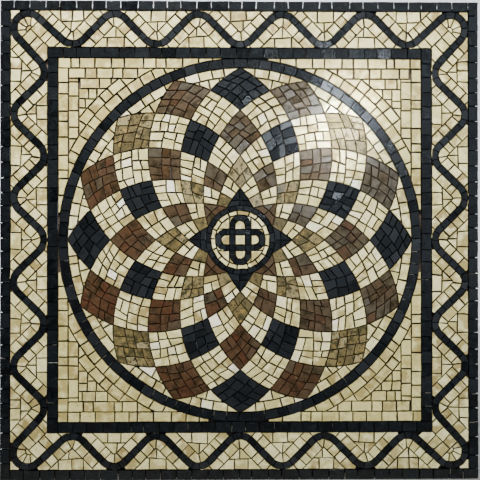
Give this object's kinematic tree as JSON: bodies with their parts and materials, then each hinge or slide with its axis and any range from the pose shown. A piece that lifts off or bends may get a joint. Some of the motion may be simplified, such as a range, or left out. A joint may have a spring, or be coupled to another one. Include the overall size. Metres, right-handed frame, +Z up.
{
  "type": "mosaic panel",
  "caption": "Square marble mosaic panel: a rosette of curved cells round a knot medallion, in a circle, a square frame and a border with a waving ribbon.",
  "frame": {"origin": "centre of the back face of the net backing", "axes": "+Z up along the panel's sides, +X to the right seen from the front, and the face looks towards -Y, so +Y points into the wall"},
  "size_m": [0.6, 0.0123, 0.6],
  "materials": {
    "black_marble": "polished",
    "cream_marble": "polished",
    "brown_marble": "polished",
    "gold_marble": "polished",
    "net_backing": "matte"
  },
  "bodies": {
    "root": {"mesh_backing": "net_backing", "outer_border": "black_marble", "border_field": "cream_marble", "wave_ribbon": "black_marble", "inner_frame": "black_marble", "square_field": "cream_marble", "circle_band": "black_marble", "star_ring": "black_marble", "knot": "black_marble", "inner_cell_00_gold": "gold_marble", "inner_cell_01_brown": "brown_marble", "inner_cell_02_gold": "gold_marble", "inner_cell_03_brown": "brown_marble", "inner_cell_04_gold": "gold_marble", "inner_cell_05_brown": "brown_marble", "inner_cell_06_gold": "gold_marble", "inner_cell_07_brown": "brown_marble", "inner_cell_08_gold": "gold_marble", "inner_cell_09_brown": "brown_marble", "inner_cell_10_gold": "gold_marble", "inner_cell_11_brown": "brown_marble", "inner_cell_12_gold": "gold_marble", "inner_cell_13_brown": "brown_marble", "inner_cell_14_gold": "gold_marble", "inner_cell_15_brown": "brown_marble", "middle_cell_00_brown": "brown_marble", "middle_cell_01_black": "black_marble", "middle_cell_02_brown": "brown_marble", "middle_cell_03_black": "black_marble", "middle_cell_04_brown": "brown_marble", "middle_cell_05_black": "black_marble", "middle_cell_06_brown": "brown_marble", "middle_cell_07_black": "black_marble", "middle_cell_08_brown": "brown_marble", "middle_cell_09_black": "black_marble", "middle_cell_10_brown": "brown_marble", "middle_cell_11_black": "black_marble", "middle_cell_12_brown": "brown_marble", "middle_cell_13_black": "black_marble", "middle_cell_14_brown": "brown_marble", "middle_cell_15_black": "black_marble", "outer_cell_00_black": "black_marble", "outer_cell_01_brown": "brown_marble", "outer_cell_02_gold": "gold_marble", "outer_cell_03_brown": "brown_marble", "outer_cell_04_black": "black_marble", "outer_cell_05_brown": "brown_marble", "outer_cell_06_gold": "gold_marble", "outer_cell_07_brown": "brown_marble", "outer_cell_08_black": "black_marble", "outer_cell_09_brown": "brown_marble", "outer_cell_10_gold": "gold_marble", "outer_cell_11_brown": "brown_marble", "outer_cell_12_black": "black_marble", "outer_cell_13_brown": "brown_marble", "outer_cell_14_gold": "gold_marble", "outer_cell_15_brown": "brown_marble"}
  },
  "joints": []
}
